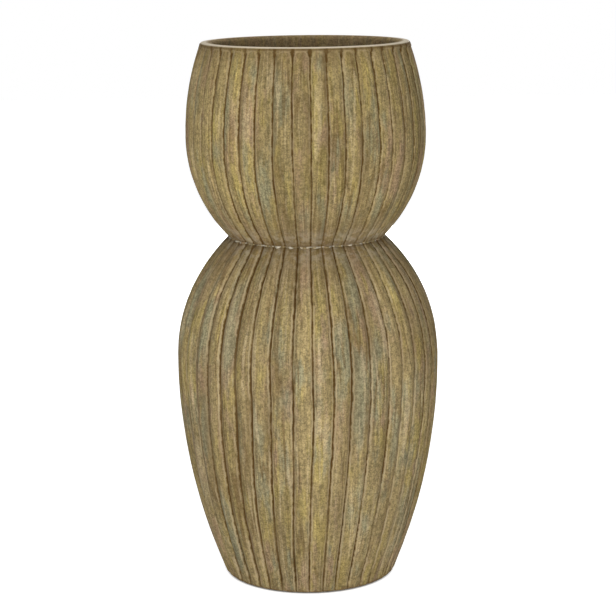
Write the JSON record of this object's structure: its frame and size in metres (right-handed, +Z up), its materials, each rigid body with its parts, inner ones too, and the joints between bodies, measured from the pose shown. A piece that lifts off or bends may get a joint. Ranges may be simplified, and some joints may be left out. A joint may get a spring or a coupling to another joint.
{
  "type": "urn vase",
  "caption": "Tall free-standing clay vase with upright ribs: a round-mouthed bowl luted onto a taller belly at a narrow waist.",
  "frame": {"origin": "on the vase's axis, at the surface that its pads stand on", "axes": "+Z up along the vase's axis, -Y towards the pictured front, +X to the viewer's right"},
  "size_m": [0.294, 0.294, 0.6],
  "materials": {
    "washed_clay": "sandy unglazed clay under a streaky ochre, olive and brown wash",
    "pale_slip": "dried clay slip, rough and paler than the wash",
    "bare_clay": "unwashed fired clay, scraped flat",
    "sealing_coat": "thin dark sealing coat with a low sheen",
    "felt": "dense brown felt"
  },
  "bodies": {
    "root": {"belly_shell": "washed_clay", "bowl_shell": "washed_clay", "waist_joint": "pale_slip", "base_disc": "bare_clay", "base_joint": "pale_slip", "waterproof_lining": "sealing_coat", "felt_pad_1": "felt", "felt_pad_2": "felt", "felt_pad_3": "felt", "felt_pad_4": "felt"}
  },
  "joints": []
}
